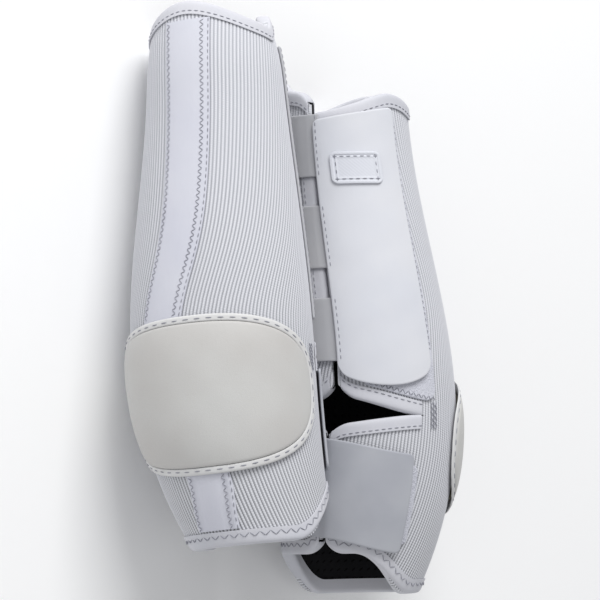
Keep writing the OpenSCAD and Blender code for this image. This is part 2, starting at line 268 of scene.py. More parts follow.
def startMaterial(name, roughness, sheen=0.0, specular=0.35):
    material = bpy.data.materials.new(name)
    material.use_nodes = True
    shader = material.node_tree.nodes["Principled BSDF"]
    shader.inputs["Roughness"].default_value = roughness
    shader.inputs["Sheen Weight"].default_value = sheen
    shader.inputs["Sheen Roughness"].default_value = 0.4
    shader.inputs["Specular IOR Level"].default_value = specular
    return material, material.node_tree, shader


def useGroup(tree, group, inputs=()):
    return wire(tree, "ShaderNodeGroup", {"node_tree": group}, inputs)


def blendColour(tree, factor, first, second):
    node = wire(tree, "ShaderNodeMix", {"data_type": "RGBA"})
    tree.links.new(factor, node.inputs[0])
    for socket, value in ((6, first), (7, second)):
        if isinstance(value, bpy.types.NodeSocket):
            tree.links.new(value, node.inputs[socket])
        else:
            node.inputs[socket].default_value = value
    return node.outputs[2]


def clothPlace(tree):
    return wire(tree, "ShaderNodeAttribute", {"attribute_name": "cloth"}).outputs["Vector"]


def bumpInto(tree, shader, height, strength, distance):
    bump = wire(tree, "ShaderNodeBump", (), {"Height": height, "Strength": strength, "Distance": distance})
    tree.links.new(bump.outputs[0], shader.inputs["Normal"])


def ribbedNeoprene():
    # The groove colours are painted shade between the ribs, darkest low down
    look = {
        "rib": shade(222, 223, 228), "grooveShade": shade(112, 115, 127), "lowGrooveShade": shade(40, 42, 50),
        "pitch": 2.1, "thread": 1.3,
    }
    material, tree, shader = startMaterial("ribbedNeoprene", 0.82, sheen=0.12)
    mask = useGroup(tree, ribMask, {
        "Cloth": clothPlace(tree), "Pitch": look["pitch"], "Thread": look["thread"],
    })
    worn = useGroup(tree, handled, {"Broad": 22.0, "Fine": 1400.0})
    # Painted shade in the grooves, darker and stronger towards the bottom of the leg
    low = wire(tree, "ShaderNodeMapRange", (), {
        "Value": mask.outputs["Along"], "From Min": 250.0, "From Max": 20.0, "To Min": 0.0, "To Max": 1.0,
    }).outputs[0]
    grooveShadeColour = blendColour(tree, low, look["grooveShade"], look["lowGrooveShade"])
    threaded = sums(tree, "MULTIPLY_ADD", mask.outputs["Dash"], 0.45, 0.55)
    depth = sums(tree, "MULTIPLY", sums(tree, "POWER", mask.outputs["Groove"], 0.75), threaded)
    grooveShadeAmount = sums(tree, "MULTIPLY", depth, sums(tree, "MULTIPLY_ADD", low, 0.15, 0.85))
    # Painted shade: the rib colour darkens to the groove shade in the grooves, less where threads cross
    colour = blendColour(tree, grooveShadeAmount, look["rib"], grooveShadeColour)
    soft = sums(tree, "MULTIPLY_ADD", worn.outputs["Patch"], 0.22, -0.04)
    tree.links.new(blendColour(tree, soft, colour, shade(200, 200, 208)), shader.inputs["Base Color"])
    tree.links.new(sums(tree, "MULTIPLY_ADD", worn.outputs["Fibre"], 0.2, 0.7), shader.inputs["Roughness"])
    bumpInto(tree, shader, sums(tree, "SUBTRACT", mask.outputs["Dash"], depth), 0.4, 0.0002)
    return material


def wovenMaterial(name, colour, worn, roughness=0.7, sheen=0.1, pitch=0.8, stretch=1.0, depth=0.25,
                  fine=1200.0):
    material, tree, shader = startMaterial(name, roughness, sheen)
    weave = useGroup(tree, fineWeave, {"Cloth": clothPlace(tree), "Pitch": pitch, "Stretch": stretch})
    wear = useGroup(tree, handled, {"Broad": 26.0, "Fine": fine})
    patch = wire(tree, "ShaderNodeMapRange", (), {
        "Value": wear.outputs["Patch"], "From Min": 0.35, "From Max": 0.7,
    }).outputs[0]
    base = blendColour(tree, patch, colour, worn)
    # Painted shade where the weave dips between its threads, as strong as depth
    weaveGapShade = sums(tree, "MULTIPLY_ADD", weave.outputs["Height"], -depth, depth)
    tree.links.new(blendColour(tree, weaveGapShade, base, shade(120, 122, 132)), shader.inputs["Base Color"])
    uneven = sums(tree, "MULTIPLY_ADD", wear.outputs["Fibre"], 0.25, roughness - 0.12)
    tree.links.new(uneven, shader.inputs["Roughness"])
    height = sums(tree, "MULTIPLY_ADD", wear.outputs["Fibre"], 0.6, weave.outputs["Height"])
    bumpInto(tree, shader, height, 0.35, 0.00012)
    return material


def padLeather():
    material, tree, shader = startMaterial("padLeather", 0.5, sheen=0.05, specular=0.4)
    place = wire(tree, "ShaderNodeTexCoord").outputs["Object"]
    grain = wire(tree, "ShaderNodeTexVoronoi", {"feature": "DISTANCE_TO_EDGE"}, {
        "Vector": place, "Scale": 1100.0,
    })
    wear = useGroup(tree, handled, {"Broad": 14.0, "Fine": 500.0})
    patch = wire(tree, "ShaderNodeMapRange", (), {
        "Value": wear.outputs["Patch"], "From Min": 0.35, "From Max": 0.75,
    }).outputs[0]
    base = blendColour(tree, patch, shade(202, 202, 200), shade(190, 187, 184))
    # Painted shade in the creases of the grain
    creaseShade = sums(tree, "MULTIPLY", sums(tree, "LESS_THAN", grain.outputs["Distance"], 0.06), 0.12)
    tree.links.new(blendColour(tree, creaseShade, base, shade(170, 166, 160)), shader.inputs["Base Color"])
    tree.links.new(sums(tree, "MULTIPLY_ADD", wear.outputs["Fibre"], 0.25, 0.42), shader.inputs["Roughness"])
    height = sums(tree, "MULTIPLY_ADD", wear.outputs["Fibre"], 0.5, grain.outputs["Distance"])
    bumpInto(tree, shader, height, 0.3, 0.00025)
    return material


def perforatedLining():
    material, tree, shader = startMaterial("perforatedLining", 0.88, specular=0.2)
    split = wire(tree, "ShaderNodeSeparateXYZ", (), {0: clothPlace(tree)})
    # Small round holes, this far apart both ways
    holePitch = 5.0
    parts = []
    for axis in ("X", "Y"):
        cells = sums(tree, "DIVIDE", split.outputs[axis], holePitch)
        cell = sums(tree, "SUBTRACT", sums(tree, "FRACT", cells), 0.5)
        parts.append(sums(tree, "MULTIPLY", cell, cell))
    away = sums(tree, "SQRT", sums(tree, "ADD", parts[0], parts[1]))
    hole = wire(tree, "ShaderNodeMapRange", (), {"Value": away, "From Min": 0.13, "From Max": 0.2}).outputs[0]
    wear = useGroup(tree, handled, {"Broad": 40.0, "Fine": 1500.0})
    base = blendColour(tree, wear.outputs["Patch"], shade(18, 18, 20), shade(32, 32, 35))
    # The holes are painted near black: painted shade inside them
    tree.links.new(blendColour(tree, hole, shade(4, 4, 5), base), shader.inputs["Base Color"])
    tree.links.new(sums(tree, "MULTIPLY_ADD", wear.outputs["Fibre"], 0.2, 0.75), shader.inputs["Roughness"])
    bumpInto(tree, shader, sums(tree, "MULTIPLY_ADD", wear.outputs["Fibre"], 0.15, hole), 0.6, 0.0004)
    return material


def pileMaterial(name, colour, hollowShade, scale):
    material, tree, shader = startMaterial(name, 0.95, sheen=0.25)
    place = wire(tree, "ShaderNodeTexCoord").outputs["Object"]
    loops = wire(tree, "ShaderNodeTexVoronoi", (), {"Vector": place, "Scale": scale})
    wear = useGroup(tree, handled, {"Broad": 60.0, "Fine": scale * 1.5})
    # Painted shade in the hollows between the loops, stronger in random patches
    mask = sums(tree, "MULTIPLY", loops.outputs["Distance"], wear.outputs["Patch"])
    tree.links.new(blendColour(tree, mask, colour, hollowShade), shader.inputs["Base Color"])
    height = sums(tree, "SUBTRACT", wear.outputs["Fibre"], loops.outputs["Distance"])
    bumpInto(tree, shader, height, 0.7, 0.0006)
    return material


materials = {
    "neoprene": ribbedNeoprene(),
    "lining": perforatedLining(),
    "leather": padLeather(),
    "spineTape": wovenMaterial(
        "spineTape", shade(212, 213, 222), shade(206, 207, 218), pitch=0.55, depth=0.08),
    "binding": wovenMaterial(
        "binding", shade(214, 214, 220), shade(204, 205, 212), pitch=0.7, depth=0.14),
    "welt": wovenMaterial(
        "welt", shade(220, 220, 220), shade(212, 211, 210), roughness=0.55, pitch=0.9, depth=0.06),
    "webbing": wovenMaterial(
        "webbing", shade(194, 194, 197), shade(184, 185, 189), pitch=1.2, stretch=0.5, depth=0.16),
    "closureTab": wovenMaterial(
        "closureTab", shade(216, 217, 222), shade(210, 212, 219), roughness=0.6, pitch=0.6, depth=0.05),
    "fetlockTab": wovenMaterial(
        "fetlockTab", shade(182, 184, 190), shade(168, 170, 178), roughness=0.6, pitch=0.7, depth=0.08),
    "badge": wovenMaterial(
        "badge", shade(214, 216, 222), shade(208, 210, 218), roughness=0.5, sheen=0.0, pitch=2.0,
        depth=0.0),
    "thread": wovenMaterial(
        "thread", shade(150, 151, 160), shade(126, 127, 138), roughness=0.6, sheen=0.2, pitch=0.5,
        depth=0.0, fine=3500.0),
    "loopPile": pileMaterial("loopPile", shade(222, 223, 232), shade(150, 152, 164), 1300.0),
    "hookTape": pileMaterial("hookTape", shade(206, 207, 214), shade(140, 142, 150), 900.0),
    "foam": pileMaterial("foam", shade(214, 208, 186), shade(170, 164, 142), 1600.0),
}
print("materials made")


# Makers of closed meshes that follow the boot

def makePiece(name, points, faces, cloth, material, closeUp=0.00002):
    mesh = bpy.data.meshes.new(name)
    mesh.from_pydata(np.asarray(points).tolist(), [], faces)
    attribute = mesh.attributes.new("cloth", "FLOAT_VECTOR", "POINT")
    attribute.data.foreach_set("vector", np.asarray(cloth, np.float32).ravel())
    work = bmesh.new()
    work.from_mesh(mesh)
    bmesh.ops.remove_doubles(work, verts=work.verts, dist=closeUp)
    bmesh.ops.dissolve_degenerate(work, edges=work.edges, dist=closeUp / 2)
    bmesh.ops.recalc_face_normals(work, faces=work.faces)
    work.to_mesh(mesh)
    work.free()
    mesh.shade_smooth()
    mesh.set_sharp_from_angle(angle=math.radians(55))
    mesh.materials.append(material)
    piece = bpy.data.objects.new(name, mesh)
    bpy.context.collection.objects.link(piece)
    return piece


def gridSolid(name, boot, phi, z, low, high, material, keep=None, across=None, closeUp=0.00002):
    # A closed sheet between two distances off the boot, without the cells where keep is false
    rows, columns = phi.shape
    low, high = np.broadcast_to(low, phi.shape), np.broadcast_to(high, phi.shape)
    points = np.concatenate([
        surfacePoint(boot, phi, z, high).reshape(-1, 3), surfacePoint(boot, phi, z, low).reshape(-1, 3),
    ])
    if across is None:
        across = np.radians(phi) * halfWidth(z, pair[boot]["curl"])
    flat = np.stack([across, z], -1).reshape(-1, 2)
    outside = np.repeat([1.0, 0.0], rows * columns)[:, None]
    cloth = np.concatenate([np.concatenate([flat, flat]), outside], 1)
    if keep is None:
        keep = np.ones((rows - 1, columns - 1), bool)
    under = rows * columns
    padded = np.zeros((rows + 1, columns + 1), bool)
    padded[1:-1, 1:-1] = keep
    faces = []
    for i in range(rows - 1):
        for j in range(columns - 1):
            if not keep[i, j]:
                continue
            a, b = i * columns + j, (i + 1) * columns + j
            loop = [a, b, b + 1, a + 1]
            faces.append(loop)
            faces.append([v + under for v in reversed(loop)])
            beside = ((i + 1, j, 0, 1), (i + 2, j + 1, 1, 2), (i + 1, j + 2, 2, 3), (i, j + 1, 3, 0))
            for k, m, s, e in beside:
                if not padded[k, m]:
                    faces.append([loop[e], loop[s], loop[s] + under, loop[e] + under])
    return makePiece(name, points, faces, cloth, material, closeUp)


def edgeSteps(count):
    t = np.linspace(0, 1, count + 1)
    return t - 0.135 * np.sin(2 * math.pi * t)


def softSheet(name, boot, spec, material, relief=None):
    # A sheet of cloth or webbing on the boot, with rounded corners and softened edges
    start, end = spec["phi"]
    phi = start + (end - start) * edgeSteps(spec["steps"][0])[:, None]
    rounding = spec.get("corner", 3)
    inside = np.minimum(phi - start, end - phi) * 0.75
    trim = np.where(inside < rounding,
                    rounding - np.sqrt(np.maximum(0, rounding ** 2 - (rounding - inside) ** 2)), 0)
    low, high = spec["foot"](phi) + trim, spec["head"](phi) - trim
    share = edgeSteps(spec["steps"][1])[None, :]
    z = low + (high - low) * share
    phi = np.broadcast_to(phi, z.shape)
    curl = pair[boot]["curl"]
    sideways = np.radians(np.minimum(phi - start, end - phi)) * halfWidth(z, curl)
    inward = np.minimum(sideways, np.minimum(share, 1 - share) * (high - low))
    soft = np.sqrt(1 - (1 - np.clip(inward / spec.get("softEdge", 0.9), 0, 1)) ** 2)
    inner, outer = spec["layer"]
    inner = inner(phi) if callable(inner) else inner
    outer = outer(phi) if callable(outer) else outer
    middle, half = (inner + outer) / 2, (outer - inner) / 2 * (0.3 + 0.7 * soft)
    raised = relief(phi, z, inward) if relief else 0
    return gridSolid(name, boot, phi, z, middle - half, middle + half + raised, material)


def lobeRows(boot, phiAt, lowSteps, highSteps):
    # Heights from the bottom rim to the notch, and from the notch to the top rim
    low = bottomHeight(phiAt(12))
    high = topHeight(boot, phiAt(292))
    middle = phiAt(104)
    foot = notchMiddle(middle) - notchHalf(middle)
    head = notchMiddle(middle) + notchHalf(middle)
    lower = low[:, None] + (foot - low)[:, None] * np.linspace(0, 1, lowSteps + 1)
    upper = head[:, None] + (high - head)[:, None] * np.linspace(0, 1, highSteps + 1)
    isOpen = (head - foot) > 0.01
    keep = np.ones((len(low) - 1, lowSteps + highSteps + 1), bool)
    keep[:, lowSteps] = ~(isOpen[1:] | isOpen[:-1])
    return np.concatenate([lower, upper], 1), keep


def finishPiece(piece, body, slot, *nodes):
    if nodes:
        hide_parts(*nodes)
    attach(piece, body)
    return piece


# Node trees for what repeats: ribs and stitches

def ribTree():
    # Raises ribs on the outer face; cloth holds the distance across, along, and 1 outside
    tree, enter, leave = newGroup("raisedRibs", "GeometryNodeTree", [
        ("Geometry", "NodeSocketGeometry", None), ("Pitch", "NodeSocketFloat", 1.65),
        ("Depth", "NodeSocketFloat", 0.0004), ("Material", "NodeSocketMaterial", None),
    ], [("Geometry", "NodeSocketGeometry")])
    cloth = wire(tree, "GeometryNodeInputNamedAttribute", {"data_type": "FLOAT_VECTOR"}, {"Name": "cloth"})
    split = wire(tree, "ShaderNodeSeparateXYZ", (), {0: cloth.outputs[0]})
    turns = sums(tree, "DIVIDE", split.outputs["X"], enter.outputs["Pitch"])
    wave = sums(tree, "ABSOLUTE", sums(tree, "SINE", sums(tree, "MULTIPLY", turns, math.pi)))
    crest = sums(tree, "MULTIPLY", sums(tree, "POWER", wave, 0.8), split.outputs["Z"])
    height = sums(tree, "MULTIPLY", crest, enter.outputs["Depth"])
    normal = wire(tree, "GeometryNodeInputNormal")
    offset = wire(tree, "ShaderNodeVectorMath", {"operation": "SCALE"}, {
        0: normal.outputs[0], "Scale": height,
    })
    moved = wire(tree, "GeometryNodeSetPosition", (), {
        "Geometry": enter.outputs["Geometry"], "Offset": offset.outputs[0],
    })
    real = wire(tree, "GeometryNodeRealizeInstances", (), {0: moved.outputs[0]})
    done = wire(tree, "GeometryNodeSetMaterial", (), {
        0: real.outputs[0], "Material": enter.outputs["Material"],
    })
    tree.links.new(done.outputs[0], leave.inputs[0])
    return tree


def stitchTree():
    # One bead of thread at every step along each row; outward is the cloth's own normal
    tree, enter, leave = newGroup("sewnStitches", "GeometryNodeTree", [
        ("Geometry", "NodeSocketGeometry", None), ("Step", "NodeSocketFloat", 0.003),
        ("Length", "NodeSocketFloat", 0.0025), ("Thickness", "NodeSocketFloat", 0.0006),
        ("Slant", "NodeSocketFloat", 0.0), ("Material", "NodeSocketMaterial", None),
    ], [("Geometry", "NodeSocketGeometry")])
    rows = wire(tree, "GeometryNodeMeshToCurve", (), {0: enter.outputs["Geometry"]})
    spots = wire(tree, "GeometryNodeCurveToPoints", {"mode": "LENGTH"}, {
        "Curve": rows.outputs[0], "Length": enter.outputs["Step"],
    })
    outward = wire(tree, "GeometryNodeInputNamedAttribute", {"data_type": "FLOAT_VECTOR"}, {
        "Name": "outward",
    })
    along = wire(tree, "FunctionNodeAlignRotationToVector", {"axis": "X"}, {
        "Vector": spots.outputs["Tangent"],
    })
    facing = wire(tree, "FunctionNodeAlignRotationToVector", {"axis": "Z", "pivot_axis": "X"}, {
        "Rotation": along.outputs[0], "Vector": outward.outputs[0],
    })
    parity = sums(tree, "MODULO", wire(tree, "GeometryNodeInputIndex").outputs[0], 2.0)
    swing = sums(tree, "MULTIPLY", sums(tree, "MULTIPLY_ADD", parity, 2.0, -1.0), enter.outputs["Slant"])
    swung = wire(tree, "ShaderNodeCombineXYZ", (), {"Z": swing})
    turned = wire(tree, "FunctionNodeEulerToRotation", (), {0: swung.outputs[0]})
    final = wire(tree, "FunctionNodeRotateRotation", {"rotation_space": "LOCAL"}, {
        "Rotation": facing.outputs[0], "Rotate By": turned.outputs[0],
    })
    bead = wire(tree, "GeometryNodeMeshUVSphere", (), {"Segments": 8, "Rings": 4, "Radius": 0.5})
    size = wire(tree, "ShaderNodeCombineXYZ", (), {
        "X": enter.outputs["Length"], "Y": enter.outputs["Thickness"], "Z": enter.outputs["Thickness"],
    })
    thread = wire(tree, "GeometryNodeTransform", (), {"Geometry": bead.outputs[0], "Scale": size.outputs[0]})
    placed = wire(tree, "GeometryNodeInstanceOnPoints", (), {
        "Points": spots.outputs["Points"], "Instance": thread.outputs[0], "Rotation": final.outputs[0],
    })
    real = wire(tree, "GeometryNodeRealizeInstances", (), {0: placed.outputs[0]})
    done = wire(tree, "GeometryNodeSetMaterial", (), {
        0: real.outputs[0], "Material": enter.outputs["Material"],
    })
    tree.links.new(done.outputs[0], leave.inputs[0])
    return tree


def grown(piece, tree, settings):
    # Runs a node tree on a piece and gives its result as a plain mesh in a new object
    modifier = piece.modifiers.new(tree.name, "NODES")
    modifier.node_group = tree
    for item in tree.interface.items_tree:
        if item.in_out == "INPUT" and item.name in settings:
            modifier[item.identifier] = settings[item.name]
    view = bpy.context.evaluated_depsgraph_get()
    mesh = bpy.data.meshes.new_from_object(piece.evaluated_get(view))
    piece.modifiers.remove(modifier)
    name = piece.name
    bpy.data.objects.remove(piece)
    result = bpy.data.objects.new(name, mesh)
    mesh.name = name
    bpy.context.collection.objects.link(result)
    mesh.shade_smooth()
    return result


raisedRibs = ribTree()
sewnStitches = stitchTree()

stitchStyles = {
    "lock": {"Step": 0.0037, "Length": 0.0026, "Thickness": 0.0006, "Slant": 0.0},
    "wide": {"Step": 0.0065, "Length": 0.0036, "Thickness": 0.0007, "Slant": 0.0},
    "zigzag": {"Step": 0.0017, "Length": 0.0028, "Thickness": 0.00055, "Slant": 0.95},
    "vee": {"Step": 0.0029, "Length": 0.0040, "Thickness": 0.0006, "Slant": 0.72},
}


def sewnRows(name, boot, body, rows):
    # rows holds (style, phi, z, off) lines; each style becomes one piece of thread
    made = []
    for style in stitchStyles:
        points, outward, edges = [], [], []
        for kind, phi, z, off in rows:
            if kind != style:
                continue
            phi, z, off = np.broadcast_arrays(phi, z, np.asarray(off, float))
            here = surfacePoint(boot, phi, z, off)
            out = surfacePoint(boot, phi, z, off + 1) - here
            first = len(points)
            points.extend(here.tolist())
            outward.extend((out / np.linalg.norm(out, axis=-1, keepdims=True)).tolist())
            edges.extend((first + k, first + k + 1) for k in range(len(here) - 1))
        if not points:
            continue
        mesh = bpy.data.meshes.new(name)
        mesh.from_pydata(points, edges, [])
        attribute = mesh.attributes.new("outward", "FLOAT_VECTOR", "POINT")
        attribute.data.foreach_set("vector", np.asarray(outward, np.float32).ravel())
        piece = bpy.data.objects.new(f"{name}_{style}", mesh)
        bpy.context.collection.objects.link(piece)
        settings = dict(stitchStyles[style], Material=materials["thread"])
        made.append(finishPiece(grown(piece, sewnStitches, settings), body, "thread"))
    return made


# The pieces of one boot

ribSpec = {"pitch": 2.1, "depth": 0.5, "columnsPerRib": 4, "lowSteps": 16, "highSteps": 30}


def ribOrigin(z):
    # The ribs follow the spine down to the fetlock, then run straight on under the tape
    return spinePhi(np.maximum(z, 115))


def ribbedPanel(boot, side):
    gap = bootShape["seamGap"]
    curl = pair[boot]["curl"]
    step = ribSpec["pitch"] / ribSpec["columnsPerRib"]
    outward = -1 if side == "right" else 1
    seam = gap if side == "right" else 360 - gap

    def spineEdge(z):
        return spinePhi(z) + 0.2 * outward

    def distanceTo(phi, z):
        return outward * np.radians(phi - ribOrigin(z)) * halfWidth(z, curl)

    heights = np.linspace(0, bootShape["height"], 301)
    nearest = distanceTo(spineEdge(heights), heights).min()
    furthest = distanceTo(seam, heights).max()
    across = np.arange(math.floor(nearest / step), math.ceil(furthest / step) + 1) * step

    def phiAt(z):
        turn = np.degrees(across.reshape((-1,) + (1,) * max(0, np.ndim(z) - 1)) / halfWidth(z, curl))
        edges = np.minimum(seam, spineEdge(z)), np.maximum(seam, spineEdge(z))
        return np.clip(ribOrigin(z) + outward * turn, *edges)

    z, keep = lobeRows(boot, phiAt, ribSpec["lowSteps"], ribSpec["highSteps"])
    phi = phiAt(z)
    distance = distanceTo(phi, z)
    high = layers["neoprene"] - ribSpec["depth"]
    name = f"{boot}Ribbed{side.capitalize()}Panel"
    panel = gridSolid(name, boot, phi, z, 0, high, materials["neoprene"], keep, distance, 0.00006)
    panel = grown(panel, raisedRibs, {
        "Pitch": ribSpec["pitch"], "Depth": ribSpec["depth"] / 1000, "Material": materials["neoprene"],
    })
    return finishPiece(panel, f"{boot}_boot", "ribbed_neoprene", f"{boot}_{side}_panel")


def innerLining(boot):
    phiLine = np.linspace(bootShape["seamGap"], 360 - bootShape["seamGap"], 201)
    z, keep = lobeRows(boot, lambda height: phiLine, 12, 24)
    phi = np.broadcast_to(phiLine[:, None], z.shape)
    inner, outer = layers["liningIn"], layers["liningOut"]
    piece = gridSolid(f"{boot}Lining", boot, phi, z, inner, outer, materials["lining"], keep)
    return finishPiece(piece, f"{boot}_boot", "lining", f"{boot}_lining")


def spineTapePiece(boot):
    half = 12.5
    low = layers["bindingWidth"] + 1
    high = bootShape["height"] - pair[boot]["sink"] - layers["bindingWidth"] - 3.5
    z = np.linspace(low, high, 151)[None, :]
    share = edgeSteps(28)[:, None] * 2 - 1
    z = np.broadcast_to(z, (29, 151))
    phi = spinePhi(z) + share * degreesFor(boot, half, z)
    edge = np.sqrt(1 - (1 - np.clip((1 - abs(share)) * half / 0.8, 0, 1)) ** 2)
    # Gathered between the rows of stitches, and corded below the pad
    pucker = 0.10 * np.sin(z * 1.7) * np.exp(-((abs(share) - 0.86) / 0.1) ** 2)
    cords = 0.5 * ease((52 - z) / 10) * (np.cos(share * math.pi * 7) - 1) * 0.5
    outer = layers["skin"] + 0.45 + 0.55 * edge + pucker + cords * edge
    piece = gridSolid(f"{boot}SpineTape", boot, phi, z, layers["skin"], outer, materials["spineTape"])
    return finishPiece(piece, f"{boot}_boot", "spine_tape", f"{boot}_spine_tape")


padSpec = {"phi": 187, "z": 82, "span": 89, "half": 43.5, "power": 2.5, "base": 4.8}


def padPlace(turn, inset, reach):
    # Angle and height of a point on the pad; reach is 1 at the outline and 0 in the middle
    cosine, sine = np.cos(turn), np.sin(turn)
    x = np.sign(cosine) * abs(cosine) ** (2 / padSpec["power"])
    y = np.sign(sine) * abs(sine) ** (2 / padSpec["power"])
    phi = padSpec["phi"] + (padSpec["span"] - 1.2 * inset) * x * reach
    return phi, padSpec["z"] + (padSpec["half"] - inset) * y * reach


def padDisc(name, boot, inset, low, high, material, rings=30, around=160):
    turn = np.linspace(0, 2 * math.pi, around + 1)[:, None]
    reach = np.sin(np.linspace(0, math.pi / 2, rings + 1))[None, :] * 0.998 + 0.002
    phi, z = padPlace(turn, inset, reach)
    reach = np.broadcast_to(reach, phi.shape)
    return gridSolid(name, boot, phi, z, low(phi, z, reach), high(phi, z, reach), material, closeUp=0.00005)


def strikePad(boot):
    def crown(reach):
        return 1 - reach ** 4

    def dents(phi, z):
        broad = 0.12 * np.sin(phi * 0.11 + 1.3) * np.sin(z * 0.13)
        return broad + 0.07 * np.sin(phi * 0.23) * np.cos(z * 0.21 + 0.6)

    def coverOutside(phi, z, reach):
        lip = np.sqrt(1 - (1 - np.clip((1 - reach) / 0.035, 0, 1)) ** 2)
        return padSpec["base"] + 0.9 + 0.8 * lip + (2.3 + dents(phi, z)) * crown(reach)

    def coverInside(phi, z, reach):
        return padSpec["base"] + 0.9 + 2 * crown(reach)

    cover = padDisc(f"{boot}StrikePad", boot, 4.2, coverInside, coverOutside, materials["leather"])
    finishPiece(cover, f"{boot}_boot", "pad_leather", f"{boot}_strike_pad")
    foam = padDisc(f"{boot}PadFoam", boot, 7, lambda p, z, r: padSpec["base"] + 0 * r,
                   lambda p, z, r: padSpec["base"] + 0.5 + 1.8 * crown(r), materials["foam"], 12, 72)
    finishPiece(foam, f"{boot}_boot", "pad_foam", f"{boot}_pad_foam")


def sweptRing(name, boot, phi, z, offs, material, loop):
    # Section points run along axis 1; the path runs along axis 0 and closes if loop is true
    rows, columns = phi.shape
    points = surfacePoint(boot, phi, z, offs).reshape(-1, 3)
    strides = np.diff(points.reshape(rows, columns, 3)[:, 0], axis=0)
    along = np.cumsum(np.r_[0, np.linalg.norm(strides, axis=1)])
    share = np.linspace(0, 2 * layers["bindingWidth"], columns)
    cloth = np.stack([
        np.repeat(along * 1000, columns), np.tile(share, rows), np.ones(rows * columns),
    ], 1)
    faces = []
    for i in range(rows if loop else rows - 1):
        for k in range(columns):
            following = (i + 1) % rows
            beside = (k + 1) % columns
            here, ahead = i * columns, following * columns
            faces.append([here + k, ahead + k, ahead + beside, here + beside])
    if not loop:
        faces.append(list(range(columns)))
        faces.append([(rows - 1) * columns + k for k in reversed(range(columns))])
    return makePiece(name, points, faces, cloth, material)


def padWelt(boot):
    turn = np.linspace(0, 2 * math.pi, 180, endpoint=False)[:, None]
    # Section across the rim: inset from the outline, and distance off the boot
    section = np.array([
        (0.1, 4.9), (-0.05, 5.2), (0.15, 5.6), (0.7, 5.9), (1.5, 6.02), (2.2, 5.95), (2.9, 6.02),
        (3.5, 5.95), (3.95, 5.6), (4.05, 5.3), (3.95, 4.9),
    ])
    phi, z = padPlace(turn, section[:, 0][None, :], 1.0)
    offs = np.broadcast_to(section[:, 1], phi.shape) + 0.06 * np.sin(turn * 40)
    piece = sweptRing(f"{boot}PadWelt", boot, phi, z, offs, materials["welt"], True)
    return finishPiece(piece, f"{boot}_boot", "pad_welt", f"{boot}_pad_welt")


# The folded tape's section: distance off the boot, and depth into the cloth from its edge
bindingSection = np.array([
    (4.05, 7.0), (4.12, 6.3), (4.0, 5.2), (4.1, 3.6), (4.12, 1.6), (4.0, 0.3), (3.5, -0.75), (2.4, -1.1),
    (0.6, -1.18), (-1.6, -1.15), (-3.1, -0.7), (-3.8, 0.3), (-3.9, 2.0), (-3.9, 7.0), (-3.15, 7.0),
    (-3.12, -0.3), (3.3, -0.3), (3.3, 7.0),
])


def foldedBinding(name, boot, phi, z, stepPhi, stepZ, *nodes):
    phi, z = np.asarray(phi, float)[:, None], np.asarray(z, float)[:, None]
    stepPhi, stepZ = np.asarray(stepPhi, float), np.asarray(stepZ, float)
    depth = bindingSection[:, 1][None, :]
    allPhi = phi + stepPhi.reshape(-1, 1) * depth
    allZ = z + stepZ.reshape(-1, 1) * depth
    along = np.arange(len(phi))[:, None]
    # The tape draws in a little at its line of stitches
    ripple = 0.07 * np.sin(along * 1.9) * np.exp(-((depth - 4) / 2.2) ** 2) * (bindingSection[:, 0] > 3.4)
    offs = np.broadcast_to(bindingSection[:, 0], allPhi.shape) + ripple
    piece = sweptRing(name, boot, allPhi, allZ, offs, materials["binding"], False)
    return finishPiece(piece, f"{boot}_boot", "binding", *nodes)


def bindings(boot):
    gap = bootShape["seamGap"]
    phi = np.linspace(gap + 1, 359 - gap, 261)
    ones = np.ones_like(phi)
    top, bottom = topHeight(boot, phi), bottomHeight(phi)
    foldedBinding(f"{boot}TopBinding", boot, phi, top, 0 * ones, -ones, f"{boot}_top_binding")
    foldedBinding(f"{boot}BottomBinding", boot, phi, bottom, 0 * ones, ones, f"{boot}_bottom_binding")
    edges = (
        ("right", "edge", 132, 262), ("left", "edge", 132, 265),
        ("right", "low", 51, 74), ("left", "low", 51, 74),
    )
    for side, place, foot, head in edges:
        z = np.linspace(foot, head, max(12, (head - foot) // 2))
        inwards = 1 if side == "right" else -1
        step = inwards * degreesFor(boot, 1, z)
        name = f"{boot}{side.capitalize()}{place.capitalize()}Binding"
        foldedBinding(name, boot, inwards * gap + 0 * z, z, step, 0 * z, f"{boot}_{side}_{place}_binding")
    for side, inwards in (("right", 1), ("left", -1)):
        phi = inwards * np.linspace(4, bootShape["notchEnd"] - 9, 60)
        for up in (1, -1):
            lip = notchMiddle(phi) + up * notchHalf(phi)
            name = f"{boot}{side.capitalize()}Notch{'Upper' if up > 0 else 'Lower'}Binding"
            foldedBinding(name, boot, phi, lip, 0 * phi, up + 0 * phi)
        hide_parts(f"{boot}_{side}_notch_binding")


